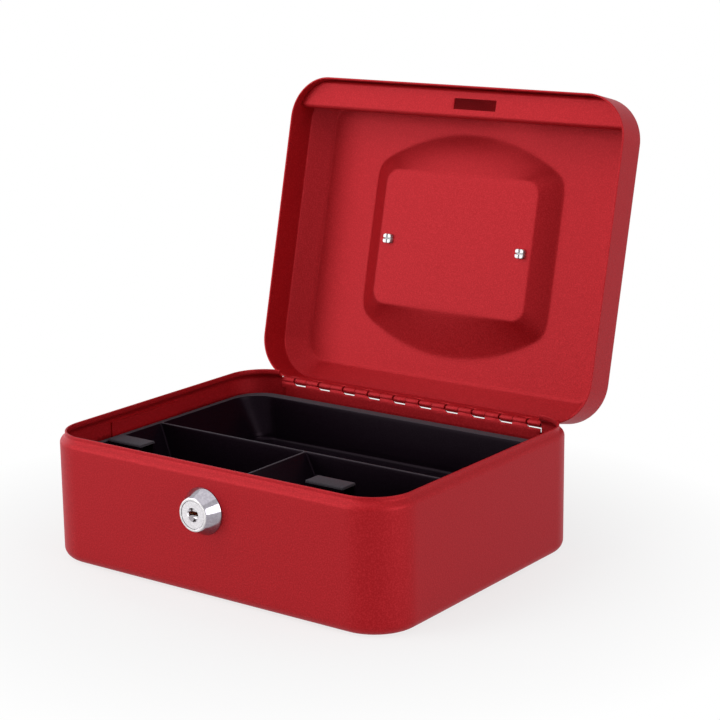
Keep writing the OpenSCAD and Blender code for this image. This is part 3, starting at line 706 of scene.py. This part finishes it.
def rivet_end(x, under):
    """Plate with soft corners, r (|cos a|⁵ + |sin a|⁵)^(-1/5), whose height dips along a cross.

    A dip is exp(-(x / w)⁴) for each arm of the cross, and it pinches the plate's edge a little.
    """
    r = np.concatenate([np.linspace(0, RIVET_FLAT, 22), [2.5, 2.58, RIVET_R, RIVET_R]])[:, None]
    depth = np.concatenate([np.full(22, RIVET_H), [1.95, 1.8, 1.6, 0.0]])[:, None]
    a = np.linspace(0, 2 * pi, 120, endpoint=False)[None, :]
    lobes = np.abs(np.cos(a)) ** LOBE_SHAPE + np.abs(np.sin(a)) ** LOBE_SHAPE
    square = lobes ** (-1 / LOBE_SHAPE) * LOBE_SIZE
    px, py = r * square * np.cos(a), r * square * np.sin(a)
    arms = np.maximum(np.exp(-((px / GROOVE_W) ** 4)), np.exp(-((py / GROOVE_W) ** 4)))
    groove = arms * (depth > 0.1)
    pinch = 1 - GROOVE_PINCH * groove * (r > 1.6)
    height = under - depth + GROOVE_DEPTH * groove * np.minimum(depth, 1)
    return np.stack([x + px * pinch, py * pinch, height], axis=-1)


def handle_post(side, zinc):
    """Post with a round foot, an eye for the bail and a rivet end on the lid's inside."""
    floor = EDGE_Z + LID_H - WELL_DEPTH
    x = side * POST_X
    foot = filleted([(0, 0), (FOOT_R, 0), (FOOT_R, FOOT_T), (0, FOOT_T)], [0.1, 0.3], 4)
    a = np.linspace(0, 2 * pi, 48, endpoint=False)[None, :]
    r, z = foot[:, :1], foot[:, 1:]
    disc = np.stack([x + r * np.cos(a), r * np.sin(a), floor + z + 0 * a], axis=-1)
    patches = [(turned_open(grid), True) for grid in (disc, post_eye(x, floor), rivet_end(x, floor - SHEET))]
    node = "handle_post_" + ("right" if side > 0 else "left")
    piece(node + "_zinc", patches, "lid", zinc, [node], angle=50)


# -------------------------------------------------------------------- lock
BEZEL_H, BEZEL_R, FACE_R, FACE_EDGE = 7.2, 11.0, 7.4, 7.72
RECESS_R, RECESS_DEPTH, BORE_R, BARREL_R, BARREL_END = 6.6, 1.9, 5.55, 8.0, 6.9
GROOVE_R, GROOVE_HALF = 6.7, 2.3


def lock_bezel(chrome, satin):
    """Turned bezel: profiles (radius, distance) revolved about the lock's axis.

    A polished cone with a thin base edge, a satin face ring with a round outer edge, and the barrel with its
    bore. On its left the bore is pushed out to GROOVE_R, which is the groove that the wafers drop into.
    """
    front, rear = WALL_Y - BEZEL_H, WALL_Y + BARREL_END
    shelf = front + RECESS_DEPTH
    rim = (FACE_EDGE, front + 0.25)
    cone = [(BARREL_R, rear), (BARREL_R, WALL_Y), (BEZEL_R, WALL_Y), (BEZEL_R, WALL_Y - 0.45), rim]
    face = [rim, (FACE_R, front), (RECESS_R + 0.02, front), (RECESS_R, shelf)]
    bore = np.array([[RECESS_R, shelf], [BORE_R, shelf], [BORE_R, rear], [BARREL_R, rear]])
    turned = (filleted(cone, [0.02, 0.02, 0.12], 3), filleted(face, [0.25, 0.06], 4))
    hole = revolved(spread(bore, 0.9))
    x, z = hole[..., 0], hole[..., 2] - LOCK_Z
    groove = (np.hypot(x, z) < BORE_R + 0.05) & (x < 0) & (np.abs(z) < GROOVE_HALF)
    push = GROOVE_R / BORE_R
    hole[groove] = hole[groove] * (push, 1, push) - (0, 0, LOCK_Z * (push - 1))
    patches = [(revolved(spread(part, 0.9)), True) for part in turned] + [(hole, True)]
    made = piece("lock_bezel_chrome", patches, "box", chrome, ["lock_housing"])
    made.data.materials.append(satin)
    centre = np.zeros(len(made.data.polygons) * 3)
    made.data.polygons.foreach_get("center", centre)
    centre = centre.reshape(-1, 3) / MM
    out = np.hypot(centre[:, 0], centre[:, 2] - LOCK_Z)
    ring = (centre[:, 1] < front + 0.2) & (out > RECESS_R - 0.05)
    made.data.polygons.foreach_set("material_index", ring.astype(np.int32))


# --------------------------------------------------------------- materials
def group(name, inputs, outputs):
    """An empty node group with those inputs, each (name, value), and outputs, each (name, kind)."""
    tree = bpy.data.node_groups.new(name, "ShaderNodeTree")
    for label, value in inputs:
        kind = "NodeSocketColor" if isinstance(value, tuple) else "NodeSocketFloat"
        socket = tree.interface.new_socket(label, in_out="INPUT", socket_type=kind)
        socket.default_value = (*value, 1) if isinstance(value, tuple) else value
    for label, kind in outputs:
        tree.interface.new_socket(label, in_out="OUTPUT", socket_type=kind)
    return tree, tree.nodes.new("NodeGroupInput"), tree.nodes.new("NodeGroupOutput")


MIX_A, MIX_B, MIX_RESULT = 6, 7, 2  # a Mix node's colour sockets


def put(tree, value, socket):
    """Links an output to a socket, or sets a number or a colour on it."""
    if hasattr(value, "is_output"):
        tree.links.new(value, socket)
    else:
        socket.default_value = (*value, 1) if isinstance(value, tuple) else value


def noise(tree, detail):
    """Noise node with that detail. Its scale is linked."""
    node = tree.nodes.new("ShaderNodeTexNoise")
    node.inputs["Detail"].default_value = detail
    node.inputs["Roughness"].default_value = 0.5
    return node


def maths(tree, operation, a, b):
    """Result of a Math node on two numbers or outputs."""
    node = tree.nodes.new("ShaderNodeMath")
    node.operation = operation
    put(tree, a, node.inputs[0])
    put(tree, b, node.inputs[1])
    return node.outputs[0]


def powder_grain():
    """Fine sprayed grain: two sizes of noise, put out as a height and as a mask of paler specks."""
    tree, into, out = group(
        "powder grain",
        [("Fine Scale", 2600.0), ("Coarse Scale", 700.0), ("Coarse Share", 0.4)],
        [("Height", "NodeSocketFloat"), ("Specks", "NodeSocketFloat")],
    )
    place = tree.nodes.new("ShaderNodeTexCoord")
    fine, coarse = noise(tree, 2.0), noise(tree, 3.0)
    for node, label in ((fine, "Fine Scale"), (coarse, "Coarse Scale")):
        tree.links.new(place.outputs["Object"], node.inputs["Vector"])
        tree.links.new(into.outputs[label], node.inputs["Scale"])
    weighted = maths(tree, "MULTIPLY", coarse.outputs["Fac"], into.outputs["Coarse Share"])
    tree.links.new(maths(tree, "ADD", fine.outputs["Fac"], weighted), out.inputs["Height"])
    specks = tree.nodes.new("ShaderNodeMapRange")
    specks.inputs["From Min"].default_value = 0.42
    specks.inputs["From Max"].default_value = 0.66
    tree.links.new(fine.outputs["Fac"], specks.inputs["Value"])
    tree.links.new(specks.outputs["Result"], out.inputs["Specks"])
    return tree


def use(tree, shared, fine, coarse, share):
    """The grain in a material, with that material's own values."""
    node = tree.nodes.new("ShaderNodeGroup")
    node.node_tree = shared
    for label, value in {"Fine Scale": fine, "Coarse Scale": coarse, "Coarse Share": share}.items():
        node.inputs[label].default_value = value
    return node


def shader(name):
    """A new material: its tree, and its Principled shader."""
    made = bpy.data.materials.new(name)
    made.use_nodes = True
    return made, made.node_tree, made.node_tree.nodes["Principled BSDF"]


def bumped(tree, bsdf, height, strength, distance):
    """Raises the surface by a height, through the shader's normal."""
    bump = tree.nodes.new("ShaderNodeBump")
    bump.inputs["Strength"].default_value = strength
    bump.inputs["Distance"].default_value = distance
    tree.links.new(height, bump.inputs["Height"])
    tree.links.new(bump.outputs["Normal"], bsdf.inputs["Normal"])


def mixed(tree, share, a, b):
    """Colour a where the share is 0, and b where it is 1."""
    node = tree.nodes.new("ShaderNodeMix")
    node.data_type = "RGBA"
    put(tree, a, node.inputs[MIX_A])
    put(tree, b, node.inputs[MIX_B])
    put(tree, share, node.inputs[0])
    return node.outputs[MIX_RESULT]


def ranged(tree, value, low, high):
    """The middle of a noise's range, 0.3 to 0.7, spread from low to high."""
    node = tree.nodes.new("ShaderNodeMapRange")
    for label, number in {"From Min": 0.3, "From Max": 0.7, "To Min": low, "To Max": high}.items():
        node.inputs[label].default_value = number
    tree.links.new(value, node.inputs["Value"])
    return node.outputs["Result"]


def red_paint(grain):
    """Red powder coat: fine grain in colour, gloss and height."""
    made, tree, bsdf = shader("red powder coat")
    bsdf.inputs["Metallic"].default_value = 0.32
    bsdf.inputs["IOR"].default_value = 1.2
    bsdf.inputs["Specular IOR Level"].default_value = 1.0
    bsdf.inputs["Specular Tint"].default_value = (0.8, 0.85, 1.0, 1)
    node = use(tree, grain, 1500.0, 420.0, 0.5)
    colour = mixed(tree, node.outputs["Specks"], (0.385, 0.0065, 0.0095), (0.475, 0.0135, 0.0185))
    tree.links.new(colour, bsdf.inputs["Base Color"])
    tree.links.new(ranged(tree, node.outputs["Height"], 0.36, 0.5), bsdf.inputs["Roughness"])
    bumped(tree, bsdf, node.outputs["Height"], 0.35, 0.0002)
    return made


def between(tree, axis, low, high):
    """0 where the piece's own coordinate on that axis is below low, and 1 above high, in mm."""
    place = tree.nodes.new("ShaderNodeTexCoord")
    split = tree.nodes.new("ShaderNodeSeparateXYZ")
    step = tree.nodes.new("ShaderNodeMapRange")
    step.inputs["From Min"].default_value = low * MM
    step.inputs["From Max"].default_value = high * MM
    tree.links.new(place.outputs["Object"], split.inputs[0])
    tree.links.new(split.outputs[axis], step.inputs["Value"])
    return step.outputs["Result"]


def black_plastic(grain):
    """Moulded black plastic: glossy walls with a faint grain, and a paler, duller colour on the rim's top
    face.
    """
    made, tree, bsdf = shader("black moulded plastic")
    bsdf.inputs["IOR"].default_value = 1.3
    bsdf.inputs["Specular IOR Level"].default_value = 0.12
    bsdf.inputs["Specular Tint"].default_value = (1.0, 0.72, 0.92, 1)
    node = use(tree, grain, 1900.0, 160.0, 0.8)
    walls = mixed(tree, node.outputs["Specks"], (0.0048, 0.0020, 0.0046), (0.0078, 0.0042, 0.0076))
    rim = mixed(tree, node.outputs["Specks"], (0.062, 0.055, 0.066), (0.088, 0.080, 0.092))
    # the top face above TRAY_Z - 0.25 mm takes the paler rim colour and a higher roughness
    top = between(tree, "Z", TRAY_Z - 0.25, TRAY_Z - 0.05)
    tree.links.new(mixed(tree, top, walls, rim), bsdf.inputs["Base Color"])
    gloss = ranged(tree, node.outputs["Height"], 0.17, 0.27)
    dull = maths(tree, "MULTIPLY", top, 0.3)
    tree.links.new(maths(tree, "ADD", gloss, dull), bsdf.inputs["Roughness"])
    bumped(tree, bsdf, node.outputs["Height"], 0.12, 0.0001)
    return made


def plug_steel(grain):
    """Satin steel on the plug's face, and brighter turned steel inside its countersink and keyway."""
    made = metal("plug steel", grain, (0.60, 0.58, 0.60), (0.72, 0.70, 0.72), 0.3, 0.42, 0.08, 1600.0)
    tree = made.node_tree
    bsdf = tree.nodes["Principled BSDF"]
    inside = between(tree, "Y", WALL_Y - 6.95, WALL_Y - 6.85)
    rough = bsdf.inputs["Roughness"].links[0].from_socket
    keep = maths(tree, "SUBTRACT", 1.0, maths(tree, "MULTIPLY", inside, 0.75))
    tree.links.new(maths(tree, "MULTIPLY", rough, keep), bsdf.inputs["Roughness"])
    return made


def metal(name, grain, dark, light, low, high, bump, fine):
    """Metal with fine streaks in its colour, from dark to light, and in its roughness, from low to high."""
    made, tree, bsdf = shader(name)
    bsdf.inputs["Metallic"].default_value = 1.0
    node = use(tree, grain, fine, fine / 6, 0.6)
    tree.links.new(mixed(tree, node.outputs["Specks"], dark, light), bsdf.inputs["Base Color"])
    tree.links.new(ranged(tree, node.outputs["Height"], low, high), bsdf.inputs["Roughness"])
    bumped(tree, bsdf, node.outputs["Height"], bump, 0.00005)
    return made


# ------------------------------------------------------------------- stage
def background_rays(tree):
    """1 for the rays that see the plain white background, and 0 for the rays that light the box."""
    path = tree.nodes.new("ShaderNodeLightPath")
    seen = maths(tree, "MAXIMUM", path.outputs["Is Camera Ray"], path.outputs["Is Transmission Ray"])
    return maths(tree, "MAXIMUM", seen, path.outputs["Is Glossy Ray"])


DIFFUSE_WORLD = 0.01
FLOOR_HALF, FLOOR_DROP = 30.0, 0.0002
LAMP_DISTANCE, LAMP_AIM = 2.2, 0.08
LAMPS = [
    ("left front", (-0.58, -0.80, 0.15), 1.5, 21.5),
    ("high left", (-0.5, -0.5, 0.8), 1.5, 13.0),
    ("overhead", (0.0, -0.02, 1.0), 3.4, 14.0),
    ("right", (1.0, -0.1, 0.2), 1.5, 23.0),
    ("left", (-1.0, 0.1, 0.2), 1.5, 9.0),
]


def stage():
    """Pale floor that keeps the box's shadow, white surroundings, and large soft lamps round the box."""
    white, tree, bsdf = shader("pale floor")
    bsdf.inputs["Base Color"].default_value = (0.9, 0.9, 0.9, 1)
    bsdf.inputs["Roughness"].default_value = 0.9
    bsdf.inputs["Specular IOR Level"].default_value = 0.0
    plain = tree.nodes.new("ShaderNodeEmission")
    both = tree.nodes.new("ShaderNodeMixShader")
    place = tree.nodes.new("ShaderNodeTexCoord")
    reach = tree.nodes.new("ShaderNodeVectorMath")
    reach.operation = "LENGTH"
    fade = tree.nodes.new("ShaderNodeMapRange")
    for label, value in {"From Min": 0.10, "From Max": 0.23, "To Min": 0.75, "To Max": 1.0}.items():
        fade.inputs[label].default_value = value
    tree.links.new(place.outputs["Object"], reach.inputs[0])
    tree.links.new(reach.outputs["Value"], fade.inputs["Value"])
    seen = background_rays(tree)
    tree.links.new(maths(tree, "MULTIPLY", seen, fade.outputs["Result"]), both.inputs[0])
    tree.links.new(bsdf.outputs[0], both.inputs[1])
    tree.links.new(plain.outputs[0], both.inputs[2])
    tree.links.new(both.outputs[0], tree.nodes["Material Output"].inputs["Surface"])
    mesh = bpy.data.meshes.new("floor")
    corners = [(x * FLOOR_HALF, y * FLOOR_HALF, 0) for x, y in ((-1, -1), (1, -1), (1, 1), (-1, 1))]
    mesh.from_pydata(corners, [], [(0, 1, 2, 3)])
    mesh.materials.append(white)
    floor = bpy.data.objects.new("floor", mesh)
    floor.location.z = -FLOOR_DROP
    bpy.context.scene.collection.objects.link(floor)

    world = bpy.data.worlds.new("surroundings")
    world.use_nodes = True
    bpy.context.scene.world = world
    tree = world.node_tree
    back = tree.nodes["Background"]
    back.inputs["Color"].default_value = (1, 1, 1, 1)
    tree.links.new(maths(tree, "MAXIMUM", background_rays(tree), DIFFUSE_WORLD), back.inputs["Strength"])

    for name, direction, size, energy in LAMPS:
        data = bpy.data.lights.new(name, "AREA")
        data.energy, data.shape, data.size = energy, "DISK", size
        light = bpy.data.objects.new(name, data)
        bpy.context.scene.collection.objects.link(light)
        away = np.array(direction, float) / np.linalg.norm(direction)
        place = away * LAMP_DISTANCE + np.array([0, 0, LAMP_AIM])
        light.matrix_world = Matrix.Translation(place) @ aimed(away)


def aimed(direction):
    """Rotation whose Z axis points along direction, with X level."""
    z = np.array(direction, float) / np.linalg.norm(direction)
    x = np.cross([0, 0, 1], z)
    x /= np.linalg.norm(x)
    y = np.cross(z, x)
    return Matrix(np.stack([x, y, z], axis=1).tolist()).to_4x4()


CAMERA_TURN, CAMERA_LIFT, CAMERA_ROLL = radians(36.39), radians(13.75), radians(-0.68)
CAMERA_DISTANCE, AIM_HEIGHT, AIM_RIGHT, AIM_UP = 0.93556, 0.070, 0.02292, 0.02265
FOCAL_PIXELS, PICTURE_PIXELS, SENSOR = 1984.86, 720, 36.0


def camera():
    """Camera of a square picture, from the front right and a little above."""
    right = np.array([cos(CAMERA_TURN), sin(CAMERA_TURN), 0])
    level = np.array([sin(CAMERA_TURN), -cos(CAMERA_TURN), 0])
    back = level * cos(CAMERA_LIFT) + np.array([0, 0, sin(CAMERA_LIFT)])
    up = np.cross(back, right)
    target = np.array([0, 0, AIM_HEIGHT]) + right * AIM_RIGHT + up * AIM_UP
    x = right * cos(CAMERA_ROLL) + up * sin(CAMERA_ROLL)
    y = -right * sin(CAMERA_ROLL) + up * cos(CAMERA_ROLL)
    data = bpy.data.cameras.new("camera")
    data.sensor_width = SENSOR
    data.sensor_fit = "HORIZONTAL"
    data.lens = FOCAL_PIXELS / PICTURE_PIXELS * SENSOR
    data.clip_start, data.clip_end = 0.05, 100
    made = bpy.data.objects.new("camera", data)
    bpy.context.scene.collection.objects.link(made)
    axes = Matrix(np.stack([x, y, back], axis=1).tolist()).to_4x4()
    made.matrix_world = Matrix.Translation(target + back * CAMERA_DISTANCE) @ axes
    bpy.context.scene.camera = made
    bpy.context.scene.view_settings.view_transform = "Standard"


camera()
stage()
grain = powder_grain()
RED = red_paint(grain)
BLACK = black_plastic(grain)
CHROME = metal("polished chrome", grain, (0.34, 0.32, 0.36), (0.40, 0.38, 0.42), 0.05, 0.11, 0.02, 900.0)
SATIN = metal("satin steel", grain, (0.62, 0.60, 0.61), (0.74, 0.72, 0.73), 0.28, 0.42, 0.08, 1600.0)
ZINC = metal("zinc plated steel", grain, (0.45, 0.45, 0.46), (0.60, 0.60, 0.60), 0.3, 0.5, 0.1, 700.0)
PLUG = plug_steel(grain)
BRASS = metal("stamped brass", grain, (0.55, 0.36, 0.12), (0.68, 0.47, 0.18), 0.25, 0.42, 0.08, 1200.0)

body_shell(RED)
lid_shell(RED)
strike_plate(RED)
coin_tray(BLACK)
hinge_leaf("hinge_leaf_box", 0, 0.0, 0.0, -1, RED)
hinge_leaf("hinge_leaf_lid", 1, END_PLAY, 0.45, 1, RED)
handle_bail(CHROME)
handle_post(-1, ZINC)
handle_post(1, ZINC)
lock_bezel(CHROME, SATIN)

KEPT = [
    (RED, ["tray_bracket_left", "tray_bracket_right", "hinge_pin"]),
    (ZINC, ["lock_nut", "stop_washer", "lock_cam", "cam_washer", "cam_screw"]),
    (PLUG, ["lock_plug"]),
    (BRASS, ["lock_wafers"]),
]
for finish, names in KEPT:
    for name in names:
        for slot in NODES[name].material_slots:
            slot.material = finish
